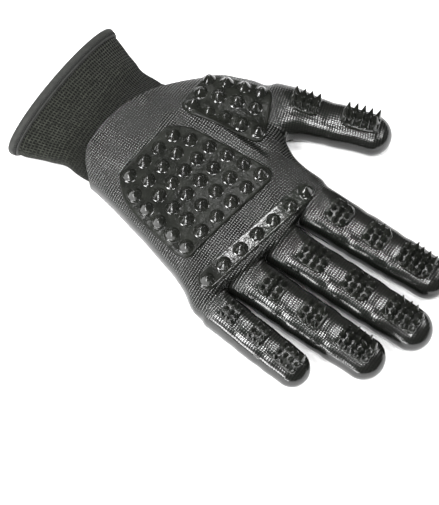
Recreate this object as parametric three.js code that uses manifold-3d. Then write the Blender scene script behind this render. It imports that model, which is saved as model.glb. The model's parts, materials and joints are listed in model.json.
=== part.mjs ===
// Left-hand grooming glove, lying palm up. Millimetres, +Z up.
// +X runs from the cuff to the middle fingertip and +Y to the thumb side.
// A knitted, dip-coated glove: one hollow hand shell, a knitted cuff with a
// bound hem, five fingers in segments that hinge like the hand inside, and
// rubber grooming pads with nubs and spikes on the palm side.
import * as THREE from "three";
import Module from "manifold-3d";

const wasm = await Module();
wasm.setup();

// ---- driving dimensions ----------------------------------------------------
const WALL = 1.5;
const CUFF_WALL = 1.3;
const GAP = 0.3;
const PAD_THICK = 1.2;
const PAD_FLOOR = 13;
const HINGE_DEPTH = 3.2;
const SHAPE = 2.5;

// The object's middle, taken away at the end so that it sits on the origin.
const MIDDLE = [-10.09, 44.48];

// Rims of the hand: x and y on the little-finger side, x and y on the thumb
// side, and height, from the wrist to the knuckles.
const HAND_STATIONS = [
  [-92, -5, -92, 74, 24.5],
  [-79, -7, -80, 85, 26],
  [-62, -11, -62, 97, 27.5],
  [-46, -15, -46, 102, 28],
  [-31, -19, -31, 97, 27.5],
  [-15, -23, -16, 81, 26.5],
  [-3, -28, 6, 74, 25],
  [4, -32, 21, 73, 23.5],
  [8, -31, 26.5, 70.5, 21],
];
const HAND_SIDES = 24;
// The coat's edge at the wrist bows over the cuff.
const WRIST_BOW = 7;

// Cuff rims: x, y on the little-finger side, y on the thumb side, bottom z, height.
const CUFF_STATIONS = [
  [-137.5, -15, 83, 1.9, 24],
  [-126, -12.5, 79.5, 1.9, 23],
  [-112, -7.5, 75.5, 1.9, 21],
  [-99, -3, 72, 1.9, 19.8],
  [-80, -2.4, 71.4, 1.9, 19.8],
];
const HEM_BOW = 3;
const WELT_LENGTH = 5;
const WELT_THICK = 1.3;

// Fingers: a point on the axis, its heading in degrees, where the tube starts
// and ends along the heading from that point, hinge stations, widths and
// heights at start and tip, and each segment's pad as
// [station, length, width, rows of spikes].
const FINGERS = {
  index: {
    at: [28.5, 57.6], heading: 1, start: -14, tip: 85, width: [28, 23.5], height: [21.5, 17.5],
    hinges: [0, 25, 50], ranges: [70, 75, 55], roll: 6,
    pads: [[13, 15.5, 15.5, [3, 4, 3]], [37.5, 15.5, 15.5, [3, 4, 3]], [63.5, 21, 16, [3, 4, 4, 4, 3]]],
  },
  middle: {
    at: [29.5, 27.3], heading: 0, start: -16, tip: 92.5, width: [26, 23.5], height: [21.5, 17.5],
    hinges: [0, 29.5, 58.5], ranges: [70, 75, 55], roll: 6,
    pads: [[15, 17, 15.5, [3, 4, 4, 3]], [44, 17, 15.5, [3, 4, 4, 3]], [73, 22, 16, [3, 4, 4, 4, 3]]],
  },
  ring: {
    at: [22.5, -0.2], heading: -1.2, start: -14, tip: 87, width: [26, 23.5], height: [21, 17],
    hinges: [0, 26, 53], ranges: [70, 75, 55], roll: 6,
    pads: [[13, 15.5, 15.5, [3, 4, 3]], [39.5, 16, 15.5, [3, 4, 3]], [68.5, 21.5, 16, [3, 4, 4, 4, 3]]],
  },
  little: {
    at: [15.5, -25], heading: -4.5, start: -10, tip: 63.5, width: [21.8, 20], height: [19.5, 16],
    hinges: [0, 19.5, 38], ranges: [70, 70, 50], roll: 6,
    pads: [[9.75, 11, 13, [3, 3, 3]], [28.75, 11, 13, [3, 3, 3]], [49.5, 16, 14, [3, 3, 3, 3]]],
  },
  thumb: {
    at: [-3, 106], heading: 19, start: -50, tip: 44, width: [28, 23.5], height: [22, 18],
    hinges: [-22, 6], ranges: [45, 70], roll: 18,
    pads: [[-9.5, 17, 15, [3, 3, 3, 3]], [24, 23, 15.5, [3, 3, 3, 3, 3]]],
  },
};
// The thumb's first fold runs slantwise round the ball of the thumb.
const THUMB_FOLD = { at: [-24, 97], heading: 125 };
// Its root is buried in the hand: x, y, half width, half height.
const THUMB_ROOT = [-54, 83, 13, 10.5];
const FINGER_SIDES = 12;
const SEGMENT_NAMES = { 3: ["proximal", "middle", "distal"], 2: ["proximal", "distal"] };

// Spikes on the finger pads, and nubs on the palm pads.
const SPIKE = { radius: 1.6, height: 3.3, pitch: 4.4, sides: 4 };
const NUB = { radius: 3.8, height: 3.6, sides: 7 };

// Palm pad: rows of nubs parallel to the knuckles. Each row is
// [x, y of its thumb-side nub, x, y of its other end, how many].
const PALM_ROWS = [
  [-61.5, 42, -67.5, 8, 4],
  [-52, 45, -58, 0, 5],
  [-40.5, 47.5, -47.5, -3, 6],
  [-29.5, 49, -37, -5.5, 6],
  [-18.5, 50, -26.5, -7.5, 6],
  [-7.5, 51, -16, -9, 6],
];
const PALM_OUTLINE = [[-69, 46], [-58, 52], [-3, 57.5], [-0.5, 51], [-11, -14], [-17, -16], [-50, -10], [-63, -5], [-74, 6], [-73, 13]];
const THENAR_ROWS = [
  [-66, 84, -37, 95, 4],
  [-65, 74, -34, 84, 4],
  [-64, 64.5, -24, 72.5, 5],
];
const THENAR_OUTLINE = [[-70, 60.5], [-63, 58.5], [-20, 66.5], [-18, 71], [-31, 98.5], [-36, 101], [-68, 90], [-71.5, 86]];
const STRIP_ENDS = [19, 57, 4.5, -18];
const STRIP_NUBS = 7;
const STRIP_RADIUS = 5.8;
const STRIP_FLOOR = 17.5;

// ---- colours ---------------------------------------------------------------
const FINISH = {
  coat: { color: 0x2b2d29, roughness: 0.38, metalness: 0 },
  knit: { color: 0x3c3e38, roughness: 0.9, metalness: 0 },
  welt: { color: 0x6b6d66, roughness: 0.85, metalness: 0 },
  pad: { color: 0x1c1e1b, roughness: 0.34, metalness: 0 },
};

// ---- solids ----------------------------------------------------------------
const radians = (degrees) => (degrees * Math.PI) / 180;

function solid(points, faces) {
  const mesh = new wasm.Mesh({
    numProp: 3,
    vertProperties: new Float32Array(points.flat()),
    triVerts: new Uint32Array(faces.flat()),
  });
  return new wasm.Manifold(mesh);
}

// A closed solid through rings that all have the same number of points.
function loft(rings) {
  const sides = rings[0].length;
  const points = rings.flat();
  const faces = [];
  for (let row = 0; row + 1 < rings.length; row += 1) {
    for (let k = 0; k < sides; k += 1) {
      const next = (k + 1) % sides;
      const a = row * sides + k;
      const b = row * sides + next;
      faces.push([a, b, b + sides], [a, b + sides, a + sides]);
    }
  }
  const last = (rings.length - 1) * sides;
  for (let k = 1; k + 1 < sides; k += 1) {
    faces.push([0, k + 1, k], [last, last + k, last + k + 1]);
  }
  return solid(points, faces);
}

// One rim: a rounded section with its underside pressed flat at the floor height.
function rim(centre, across, halfWidth, halfHeight, floor, sides) {
  const ring = [];
  for (let k = 0; k < sides; k += 1) {
    const turn = (2 * Math.PI * k) / sides;
    const c = Math.cos(turn);
    const s = Math.sin(turn);
    const u = Math.sign(c) * Math.abs(c) ** (2 / SHAPE) * halfWidth;
    const v = Math.sign(s) * Math.abs(s) ** (2 / SHAPE) * halfHeight;
    ring.push([centre[0] + across[0] * u, centre[1] + across[1] * u, Math.max(floor, centre[2] + v)]);
  }
  return ring;
}

function prism(outline, bottom, top) {
  const low = outline.map((p) => [p[0], p[1], bottom]);
  const high = outline.map((p) => [p[0], p[1], top]);
  return loft([low, high]);
}

// Bows a rim towards the cuff, most at its middle.
function bowRing(ring, middleY, halfWidth, bow) {
  for (const point of ring) {
    point[0] -= bow * (1 - ((point[1] - middleY) / (halfWidth + 6)) ** 2);
  }
}

// ---- hand, swollen (or shrunk) by an offset --------------------------------
function handBody(offset) {
  const rings = HAND_STATIONS.map(([xa, ya, xb, yb, height], k) => {
    const width = Math.hypot(xb - xa, yb - ya);
    const across = [(xb - xa) / width, (yb - ya) / width];
    let slide = 0;
    if (k === 0) {
      slide = offset < 0 ? -5 : -offset;
    }
    if (k === HAND_STATIONS.length - 1) {
      slide = offset;
    }
    const centre = [(xa + xb) / 2 + slide, (ya + yb) / 2, height / 2 - 0.8];
    const ring = rim(centre, across, width / 2 + offset, height / 2 + offset, Math.max(0, -offset), HAND_SIDES);
    if (k === 0) {
      bowRing(ring, centre[1], width / 2, WRIST_BOW);
    }
    return ring;
  });
  // The rims run from the wrist to the knuckles with +Y across, so the
  // points turn the other way round the heading.
  return loft(rings.map((ring) => ring.slice().reverse()).reverse());
}

// A finger's section at a station: half width, half height.
function section(finger, station) {
  const spread = Math.min(1, Math.max(0, (station - finger.hinges[0]) / (finger.tip - finger.hinges[0])));
  const width = finger.width[0] + (finger.width[1] - finger.width[0]) * spread;
  const height = finger.height[0] + (finger.height[1] - finger.height[0]) * spread;
  const rounding = 0.5 * width;
  const past = Math.max(0, station - (finger.tip - rounding)) / rounding;
  const round = Math.sqrt(Math.max(0, 1 - past * past));
  return [(width / 2) * round, (height / 2) * (0.35 + 0.65 * round), height / 2];
}

function fingerPoint(finger, station, side, z) {
  const a = radians(finger.heading);
  const x = finger.at[0] + Math.cos(a) * station - Math.sin(a) * side;
  const y = finger.at[1] + Math.sin(a) * station + Math.cos(a) * side;
  return [x, y, z];
}

function fingerStations(name) {
  const finger = FINGERS[name];
  const rounding = 0.5 * finger.width[1];
  const stations = [finger.start, finger.hinges[0]];
  for (const share of [0, 0.45, 0.75, 0.93, 0.995]) {
    stations.push(finger.tip - rounding * (1 - share));
  }
  return stations;
}

function fingerTube(name, offset) {
  const finger = FINGERS[name];
  const a = radians(finger.heading);
  const across = [-Math.sin(a), Math.cos(a)];
  const stations = fingerStations(name);
  const rings = stations.map((station, k) => {
    let [halfWidth, halfHeight, lift] = section(finger, station);
    const tipward = k > 1 ? offset : 0;
    let centre = fingerPoint(finger, station + tipward, 0, lift - 0.8);
    if (name === "thumb" && k === 0) {
      [halfWidth, halfHeight] = THUMB_ROOT.slice(2);
      centre = [THUMB_ROOT[0], THUMB_ROOT[1], lift - 0.8];
    }
    const w = Math.max(0.4, halfWidth + offset);
    const h = Math.max(0.4, halfHeight + offset);
    return rim(centre, across, w, h, Math.max(0, -offset), FINGER_SIDES);
  });
  return loft(rings.map((ring) => ring.slice().reverse()).reverse());
}

// ---- folds -----------------------------------------------------------------
// A fold is where two segments hinge: a point and an axis on the palm side.
// Its two faces open out above the hinge by half of the fold's range.
function fold(name, k) {
  const finger = FINGERS[name];
  const top = 2 * section(finger, finger.hinges[k])[1] - 0.8;
  let heading = radians(finger.heading);
  let at = fingerPoint(finger, finger.hinges[k], 0, top - HINGE_DEPTH);
  if (name === "thumb" && k === 0) {
    heading = radians(THUMB_FOLD.heading - 90);
    at = [THUMB_FOLD.at[0], THUMB_FOLD.at[1], top - HINGE_DEPTH];
  }
  return { at, forward: [Math.cos(heading), Math.sin(heading), 0], half: radians(finger.ranges[k] / 2) };
}

// Keeps the side of a fold that lies before it (-1) or after it (+1).
function trimAtFold(shape, { at, forward, half }, side) {
  const square = forward.map((value) => value * side);
  const slant = [square[0] * Math.cos(half), square[1] * Math.cos(half), -Math.sin(half)];
  const reach = (normal) => normal[0] * at[0] + normal[1] * at[1] + normal[2] * at[2] + GAP;
  return shape.trimByPlane(square, reach(square)).trimByPlane(slant, reach(slant));
}

// ---- outside and inside of the whole glove ---------------------------------
function wholeGlove(offset) {
  let whole = handBody(offset);
  for (const name of Object.keys(FINGERS)) {
    whole = whole.add(fingerTube(name, offset));
  }
  return whole;
}

const handOutside = Object.keys(FINGERS).reduce(
  (shape, name) => shape.add(trimAtFold(fingerTube(name, 0), fold(name, 0), -1)),
  handBody(0),
);
const gloveInside = wholeGlove(-WALL);
const padUnderside = wholeGlove(GAP);
const padTopside = wholeGlove(GAP + PAD_THICK);
const handShell = handOutside.subtract(gloveInside);

function fingerSegments(name) {
  const finger = FINGERS[name];
  const tube = fingerTube(name, 0).subtract(fingerTube(name, -WALL));
  return finger.hinges.map((station, k) => {
    let piece = trimAtFold(tube, fold(name, k), 1);
    if (k + 1 < finger.hinges.length) {
      piece = trimAtFold(piece, fold(name, k + 1), -1);
    }
    return piece;
  });
}

// ---- cuff and hem ----------------------------------------------------------
function cuffBody(offset, startX, endX) {
  const rings = [];
  for (const [x, ya, yb, bottom, height] of CUFF_STATIONS) {
    let station = x;
    if (x === CUFF_STATIONS[0][0]) {
      station = startX;
    }
    if (x === CUFF_STATIONS[CUFF_STATIONS.length - 1][0]) {
      station = endX;
    }
    const centre = [station, (ya + yb) / 2, bottom + height / 2];
    const halfWidth = (yb - ya) / 2;
    const ring = rim(centre, [0, 1], halfWidth + offset, height / 2 + offset, -100, HAND_SIDES);
    // The hem bows away from the hand at its middle.
    const bow = HEM_BOW * Math.max(0, (station + 99) / (CUFF_STATIONS[0][0] + 99));
    bowRing(ring, centre[1], halfWidth, bow);
    rings.push(ring);
  }
  return loft(rings.map((ring) => ring.slice().reverse()).reverse());
}

const hemX = CUFF_STATIONS[0][0];
const tuckX = CUFF_STATIONS[CUFF_STATIONS.length - 1][0];
const cuff = cuffBody(0, hemX, tuckX).subtract(cuffBody(-CUFF_WALL, hemX - 8, tuckX + 4));

// The welt wraps the hem: an outer band, closed over the hem's end.
function hemBand() {
  const [, ya, yb, bottom, height] = CUFF_STATIONS[0];
  const [xNext, yaNext, ybNext, bottomNext, heightNext] = CUFF_STATIONS[1];
  const bandRing = (x, offset) => {
    const t = (x - hemX) / (xNext - hemX);
    const low = ya + (yaNext - ya) * t;
    const high = yb + (ybNext - yb) * t;
    const floor = bottom + (bottomNext - bottom) * t;
    const tall = height + (heightNext - height) * t;
    const centre = [x, (low + high) / 2, floor + tall / 2];
    const halfWidth = (high - low) / 2;
    const ring = rim(centre, [0, 1], halfWidth + offset, tall / 2 + offset, -100, HAND_SIDES);
    const bow = HEM_BOW * Math.max(0, (x + 99) / (hemX + 99));
    bowRing(ring, centre[1], halfWidth, bow);
    return ring;
  };
  const band = (rows) => loft(rows.map(([x, offset]) => bandRing(x, offset).reverse()).reverse());
  const outer = GAP + WELT_THICK;
  const outside = band([
    [hemX - GAP - 1.2, outer - 0.7],
    [hemX - GAP - 0.4, outer],
    [hemX + WELT_LENGTH - 0.8, outer],
    [hemX + WELT_LENGTH, outer - 0.7],
  ]);
  const slot = band([[hemX - GAP, GAP], [hemX + WELT_LENGTH + 1, GAP]]);
  const mouth = band([[hemX - 4, -CUFF_WALL], [hemX + WELT_LENGTH + 1, -CUFF_WALL]]);
  return outside.subtract(slot).subtract(mouth);
}

// ---- pads ------------------------------------------------------------------
// A pad is a thin plate that follows the skin, with its studs moulded on.
function plate(outline, floor = PAD_FLOOR) {
  return prism(outline, floor, 60).intersect(padTopside).subtract(padUnderside);
}

// Height of the pads' top at a spot, found from a thin upright probe.
function topAt(x, y) {
  const r = 0.05;
  const probe = prism([[x - r, y - r], [x + r, y - r], [x + r, y + r], [x - r, y + r]], PAD_FLOOR, 60);
  return probe.intersect(padTopside).boundingBox().max[2];
}

function studRing(x, y, z, radius, sides) {
  const ring = [];
  for (let k = 0; k < sides; k += 1) {
    const turn = (2 * Math.PI * (k + 0.5)) / sides;
    ring.push([x + radius * Math.cos(turn), y + radius * Math.sin(turn), z]);
  }
  return ring;
}

function nub(x, y) {
  const z = topAt(x, y);
  const { radius, height, sides } = NUB;
  return loft([
    studRing(x, y, z - 1, radius, sides),
    studRing(x, y, z + height * 0.5, radius * 0.8, sides),
    studRing(x, y, z + height, radius * 0.2, sides),
  ]);
}

function spike(x, y) {
  const z = topAt(x, y);
  const { radius, height, sides } = SPIKE;
  return loft([studRing(x, y, z - 0.9, radius * 1.2, sides), studRing(x, y, z + height, 0.16, sides)]);
}

// Cuts the corners of an outline, so that a pad's plan has rounded corners.
function softened(outline, cut) {
  const result = [];
  outline.forEach((point, k) => {
    const before = outline[(k + outline.length - 1) % outline.length];
    const after = outline[(k + 1) % outline.length];
    for (const other of [before, after]) {
      const length = Math.hypot(other[0] - point[0], other[1] - point[1]);
      const t = Math.min(0.4, cut / length);
      result.push([point[0] + (other[0] - point[0]) * t, point[1] + (other[1] - point[1]) * t]);
    }
  });
  return result;
}

function counterClockwise(outline) {
  let area = 0;
  outline.forEach((p, k) => {
    const q = outline[(k + 1) % outline.length];
    area += p[0] * q[1] - q[0] * p[1];
  });
  return area > 0 ? outline : outline.slice().reverse();
}

function rowOfNubs([xa, ya, xb, yb, count]) {
  const spots = [];
  for (let k = 0; k < count; k += 1) {
    const t = k / (count - 1);
    spots.push([xa + (xb - xa) * t, ya + (yb - ya) * t]);
  }
  return spots;
}

function nubbedPad(outline, spots, floor) {
  return spots.reduce((pad, [x, y]) => pad.add(nub(x, y)), plate(outline, floor)).subtract(padUnderside);
}

function stripOutline() {
  const [xa, ya, xb, yb] = STRIP_ENDS;
  const along = Math.atan2(ya - yb, xa - xb);
  const outline = [];
  const steps = 6;
  for (let k = 0; k <= steps; k += 1) {
    const turn = along - Math.PI / 2 + (Math.PI * k) / steps;
    outline.push([xa + STRIP_RADIUS * Math.cos(turn), ya + STRIP_RADIUS * Math.sin(turn)]);
  }
  for (let k = 0; k <= steps; k += 1) {
    const turn = along + Math.PI / 2 + (Math.PI * k) / steps;
    outline.push([xb + STRIP_RADIUS * Math.cos(turn), yb + STRIP_RADIUS * Math.sin(turn)]);
  }
  return outline;
}

// A finger pad sits a little to the thumb side, as far as the finger rolls.
function fingerPad(name, k) {
  const finger = FINGERS[name];
  const [station, length, width, rows] = finger.pads[k];
  const shift = (section(finger, station)[1] * finger.roll * Math.PI) / 180;
  const corner = (u, v) => fingerPoint(finger, station + u * (length / 2), shift + v * (width / 2), 0).slice(0, 2);
  const outline = softened([corner(-1, -1), corner(1, -1), corner(1, 1), corner(-1, 1)], 3);
  let pad = plate(counterClockwise(outline));
  const pitch = Math.min(SPIKE.pitch, (length - 2 * SPIKE.radius - 0.8) / (rows.length - 1));
  rows.forEach((count, row) => {
    const along = station + (row - (rows.length - 1) / 2) * pitch;
    for (let n = 0; n < count; n += 1) {
      const side = shift + (n - (count - 1) / 2) * (count === 4 ? 3.7 : SPIKE.pitch);
      const [x, y] = fingerPoint(finger, along, side, 0);
      pad = pad.add(spike(x, y));
    }
  });
  return pad.subtract(padUnderside);
}

// ---- the named parts -------------------------------------------------------
const group = new THREE.Group();
group.name = "grooming_glove";

function addPart(name, shape, finish) {
  const source = shape.getMesh();
  const geometry = new THREE.BufferGeometry();
  const points = new Float32Array(source.vertProperties.length);
  for (let k = 0; k < points.length; k += 3) {
    points[k] = source.vertProperties[k] - MIDDLE[0];
    points[k + 1] = source.vertProperties[k + 1] - MIDDLE[1];
    points[k + 2] = source.vertProperties[k + 2];
  }
  geometry.setAttribute("position", new THREE.BufferAttribute(points, 3));
  geometry.setIndex(new THREE.BufferAttribute(new Uint32Array(source.triVerts), 1));
  geometry.computeVertexNormals();
  const mesh = new THREE.Mesh(geometry, new THREE.MeshStandardMaterial(FINISH[finish]));
  mesh.name = name;
  group.add(mesh);
}

addPart("hand_shell", handShell, "coat");
addPart("cuff", cuff, "knit");
addPart("cuff_binding", hemBand(), "welt");
const palmOutline = counterClockwise(softened(PALM_OUTLINE, 2));
const thenarOutline = counterClockwise(softened(THENAR_OUTLINE, 2));
const stripSpots = rowOfNubs([...STRIP_ENDS, STRIP_NUBS]);
addPart("palm_pad", nubbedPad(palmOutline, PALM_ROWS.flatMap(rowOfNubs)), "pad");
addPart("thenar_pad", nubbedPad(thenarOutline, THENAR_ROWS.flatMap(rowOfNubs)), "pad");
addPart("knuckle_strip", nubbedPad(counterClockwise(stripOutline()), stripSpots, STRIP_FLOOR), "pad");
for (const [name, finger] of Object.entries(FINGERS)) {
  const labels = SEGMENT_NAMES[finger.hinges.length];
  fingerSegments(name).forEach((piece, k) => {
    addPart(`${name}_${labels[k]}`, piece, "coat");
    addPart(`${name}_${labels[k]}_pad`, fingerPad(name, k), "pad");
  });
}

export default group;
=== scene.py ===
# Grooming glove: the skin, cuff, binding and rubber pads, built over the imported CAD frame.
import json
import math

import bmesh
import bpy
import numpy as np
import openvdb
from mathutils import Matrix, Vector, geometry
from mathutils.bvhtree import BVHTree


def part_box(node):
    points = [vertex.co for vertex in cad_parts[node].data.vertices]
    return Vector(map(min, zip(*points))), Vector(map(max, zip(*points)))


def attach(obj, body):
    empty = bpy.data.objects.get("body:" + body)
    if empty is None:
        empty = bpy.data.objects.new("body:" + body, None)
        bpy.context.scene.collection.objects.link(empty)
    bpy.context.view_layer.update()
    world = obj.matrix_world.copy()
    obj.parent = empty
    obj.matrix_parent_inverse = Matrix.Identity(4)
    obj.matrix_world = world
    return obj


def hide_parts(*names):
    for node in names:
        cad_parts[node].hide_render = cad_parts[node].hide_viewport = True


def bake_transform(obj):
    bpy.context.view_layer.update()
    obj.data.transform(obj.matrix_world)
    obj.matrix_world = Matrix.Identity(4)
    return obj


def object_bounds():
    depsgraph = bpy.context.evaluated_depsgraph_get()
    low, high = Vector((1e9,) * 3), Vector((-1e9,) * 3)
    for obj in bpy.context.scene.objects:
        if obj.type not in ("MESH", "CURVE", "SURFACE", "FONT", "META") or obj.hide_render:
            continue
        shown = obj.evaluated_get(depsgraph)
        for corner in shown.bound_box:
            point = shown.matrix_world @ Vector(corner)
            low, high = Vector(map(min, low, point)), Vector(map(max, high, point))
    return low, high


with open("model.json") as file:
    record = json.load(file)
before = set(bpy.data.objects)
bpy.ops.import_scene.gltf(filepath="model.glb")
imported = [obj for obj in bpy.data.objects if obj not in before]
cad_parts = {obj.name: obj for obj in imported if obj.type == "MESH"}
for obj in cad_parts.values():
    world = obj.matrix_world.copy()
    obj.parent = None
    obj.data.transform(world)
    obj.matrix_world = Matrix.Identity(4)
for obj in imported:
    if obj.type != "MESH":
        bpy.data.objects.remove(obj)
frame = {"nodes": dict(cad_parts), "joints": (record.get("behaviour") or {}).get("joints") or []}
cad_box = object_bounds()

# ---------------------------------------------------------------- dimensions
# Lengths are in millimetres until a mesh is made.
MM = 0.001
VOXEL = 0.8
FINGERS = ("index", "middle", "ring", "little", "thumb")
MEMBERS = FINGERS[:4]

# Sections: exponents of the rounded outlines, and how softly the parts run into each other.
SECTION_POWER = 2.5
TUBE_POWER = 2.6
PALM_POWER = 3.1
WEB_SOFTNESS = 3.2
THUMB_SOFTNESS = 9.0
BALL_SOFTNESS = 10.0
FLOOR_SOFTNESS = 2.5
SINK = 0.8  # how far the round sections reach below the floor before they are pressed flat

# Fingers: fullness between the ends, waists at the joints, and the press of the pads.
FULLNESS = 0.7
WAIST_LENGTH, WAIST_SIDE, WAIST_TOP = 3.2, 0.45, 0.35
PAD_PRESS, PAD_PRESS_LENGTH = 0.35, 7.0
LITTLE_TAPER = 0.45
ROOT_BACK = {"index": 12.0, "middle": 12.0, "ring": 12.0, "little": 16.0, "thumb": 6.0}
FIRST_CUT = {"index": -4.2, "middle": -4.6, "ring": -3.6, "little": -2.6, "thumb": 0.0}
PALM_END = {"little": 5.0, "ring": 4.5, "middle": 5.0, "index": 5.0}

# The ball of the thumb, and the fold between the palm pad and the thenar pad.
BALL_START = (-31.0, -15.0)
BALL_WIDTH, BALL_HEIGHT = 14.0, 11.8
CREASE_HEIGHT = 1.7
CREASE_WIDTH = 2.6

# The coat's mouth at the wrist.
WRIST_BOW = 7.0
COAT_REACH = 7.2
COAT_SLANT = 8.4
COAT_BOW = 12.7
COAT_CORNER = 50.0
THUMB_TRIM, THUMB_TRIM_LENGTH = 7.0, 14.0

# Pads, nubs and spikes.
LITTLE_PAD = 0.92
LITTLE_SPIKES = 0.8
TIP_SPIKES = 1.25

# Cuff and knit.
HEM_BOW = 3.0
WAIST_SHIFT = 8.0
RIB_COUNT = 120
RIB_STEPS = 5
COURSE, WALE = 1.5, 1.45

rng = np.random.default_rng(7)


# ---------------------------------------------------------------- measuring the frame
def cad_points(node):
    data = frame["nodes"][node].data
    co = np.empty(len(data.vertices) * 3, np.float32)
    data.vertices.foreach_get("co", co)
    return co.reshape(-1, 3).astype(float) / MM


def cad_tree(node):
    data = frame["nodes"][node].data
    return BVHTree.FromPolygons([v.co / MM for v in data.vertices], [p.vertices[:] for p in data.polygons])


def cast(tree, origin, direction):
    hit = tree.ray_cast(Vector(origin), Vector(direction))[0]
    return None if hit is None else np.array(hit)


def box_mm(node):
    low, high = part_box(node)
    return np.array(low) / MM, np.array(high) / MM


def segments_of(name):
    labels = ("proximal", "distal") if name == "thumb" else ("proximal", "middle", "distal")
    return [f"{name}_{label}" for label in labels]


def steps_of(name):
    return ("base", "tip") if name == "thumb" else ("base", "middle", "tip")


def joints_of(name):
    children = segments_of(name)
    found = {j["child"]: j for j in frame["joints"]}
    return [found[c] for c in children]


def knuckle_of(name):
    return np.array(joints_of(name)[0]["pos_m"]) / MM


def measure_finger(name):
    """A finger's line in plan, its sizes, and where its joints and pads lie along it."""
    joints = joints_of(name)
    last = joints[-1]
    axis = last["axis"]
    along = np.array([-axis[1], axis[0]])
    side = np.array([-along[1], along[0]])
    base = np.array(last["pos_m"][:2]) / MM
    parts = [cad_points(s) for s in segments_of(name)]
    stations = [float((np.array(j["pos_m"][:2]) / MM - base) @ along) for j in joints]
    first, end = parts[0], parts[-1]

    def lateral(points):
        return np.abs((points[:, :2] - base) @ side).max()

    tip = float(((end[:, :2] - base) @ along).max())
    taper_w = (lateral(end) - lateral(first)) / (stations[-1] - stations[0])
    taper_h = (end[:, 2].max() - first[:, 2].max()) / (stations[-1] - stations[0])
    pads = []
    for s in segments_of(name):
        points = cad_points(s + "_pad")
        where = (points[:, :2] - base) @ along
        pads.append((float(where.min()), float(where.max())))
    return {
        "name": name, "base": base, "along": along, "side": side, "stations": stations, "tip": tip,
        "w0": lateral(first), "h0": first[:, 2].max(), "s0": stations[0],
        "taper_w": taper_w, "taper_h": taper_h, "pads": pads, "joints": joints,
    }


fingers = {name: measure_finger(name) for name in FINGERS}


def local(finger, x, y):
    """Distance along a finger from its last joint, and to the side of its line."""
    dx, dy = x - finger["base"][0], y - finger["base"][1]
    along, side = finger["along"], finger["side"]
    return dx * along[0] + dy * along[1], dx * side[0] + dy * side[1]


def finger_sizes(finger, s):
    """Half width and top height of a finger at station s."""
    t = np.clip(s, finger["s0"], finger["tip"]) - finger["s0"]
    # The fingers keep most of their width up to the last joint.
    fullness = 0.0 if finger["name"] == "thumb" else FULLNESS
    fuller = fullness * np.sin(math.pi * t / (finger["tip"] - finger["s0"]))
    return finger["w0"] + finger["taper_w"] * t + fuller, finger["h0"] + finger["taper_h"] * t


# The palm's outline and height, probed on the hand shell from outside.
hand_tree = cad_tree("hand_shell")
hand_low, hand_high = box_mm("hand_shell")
little_knuckle = knuckle_of("little")
thumb_knuckle = knuckle_of("thumb")
wrist_x = hand_low[0] + WRIST_BOW * 0.98
PROBE_HEIGHT = 12


def side_edges(tree, x):
    """Where a node begins and ends across the hand at x."""
    low = cast(tree, (x, -200, PROBE_HEIGHT), (0, 1, 0))[1]
    high = cast(tree, (x, 200, PROBE_HEIGHT), (0, -1, 0))[1]
    return low, high


wrist_mid = sum(side_edges(hand_tree, wrist_x + 6)) * 0.5
palm_length = little_knuckle[0] - wrist_x
# Shares of the palm's length. The thumb side leaves out the stretch where the ball of the thumb stands out.
little_side = [wrist_x + palm_length * t for t in (0.07, 0.15, 0.28, 0.43, 0.57, 0.72, 0.83, 0.9)]
thumb_side = [wrist_x + palm_length * t for t in (0.07, 0.15, 0.28, 0.43, 0.83, 0.88, 0.94, 1.0, 1.05)]
low_edge = [side_edges(hand_tree, x)[0] for x in little_side]
high_edge = [side_edges(hand_tree, x)[1] for x in thumb_side]
palm_line = (wrist_mid + little_knuckle[1] + 30) / 2
top_edge = [cast(hand_tree, (x, palm_line, 100), (0, 0, -1))[2] for x in little_side]


def palm_sizes(x):
    """The palm's two edges and its top at x."""
    low = np.interp(x, little_side, low_edge)
    high = np.interp(x, thumb_side, high_edge)
    top = np.interp(x, little_side, top_edge)
    return low, high, top


def thumb_side_trim(x):
    """How much the coat draws in on the thumb side as it nears the wrist."""
    return THUMB_TRIM * np.exp(-np.maximum(0, x - wrist_x) / THUMB_TRIM_LENGTH)


# ---------------------------------------------------------------- the skin as a distance field
def smooth_min(a, b, k):
    h = np.clip(0.5 + 0.5 * (b - a) / k, 0, 1)
    return b + (a - b) * h - k * h * (1 - h)


def smooth_max(a, b, k):
    return -smooth_min(-a, -b, k)


def bell(value, width):
    return np.exp(-((value / width) ** 2))


def ease(t):
    return t * t * (3 - 2 * t)


def as_distance(f, step):
    """Turns a section formula into millimetres near its zero."""
    gx, gy, gz = np.gradient(f, step)
    size = np.sqrt(gx * gx + gy * gy + gz * gz)
    return f / np.maximum(size, 0.02)


def tube_field(x, y, z, finger):
    """One finger as a tube with rounded sections, open-ended towards the palm."""
    s, l = local(finger, x, y)
    w, h = finger_sizes(finger, s)
    # Behind the knuckle the outer side of the little finger sinks into the edge of the palm.
    if finger["name"] == "little":
        w = w - LITTLE_TAPER * np.clip(finger["s0"] - s, 0, 16) * (l < 0)
    # Shallow waists where the finger creases at its joints.
    waist = sum(bell(s - j, WAIST_LENGTH) for j in finger["stations"][1:])
    w = w - WAIST_SIDE * waist
    # Between its pads the coat stands a little prouder.
    pressed = sum(bell(s - (a + b) / 2, PAD_PRESS_LENGTH) for a, b in finger["pads"])
    w = w - PAD_PRESS * pressed
    top = h - WAIST_TOP * waist
    half = (top + SINK) / 2
    middle = top - half
    rounding = 0.98 * (finger["w0"] + finger["taper_w"] * (finger["tip"] - finger["s0"]))
    past = np.maximum(0, s - (finger["tip"] - rounding)) / rounding
    q = (np.abs(l) / w) ** TUBE_POWER + (np.abs(z - middle) / half) ** TUBE_POWER
    return np.sqrt(q ** (2 / TUBE_POWER) + past**2) - 1


def along_line(x, y, start, end):
    """How far along a line in plan, as a share of its length, and how far to its side."""
    run = end - start
    t = ((x - start[0]) * run[0] + (y - start[1]) * run[1]) / (run @ run)
    off = ((x - start[0]) * run[1] - (y - start[1]) * run[0]) / np.hypot(*run)
    return t, off


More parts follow.
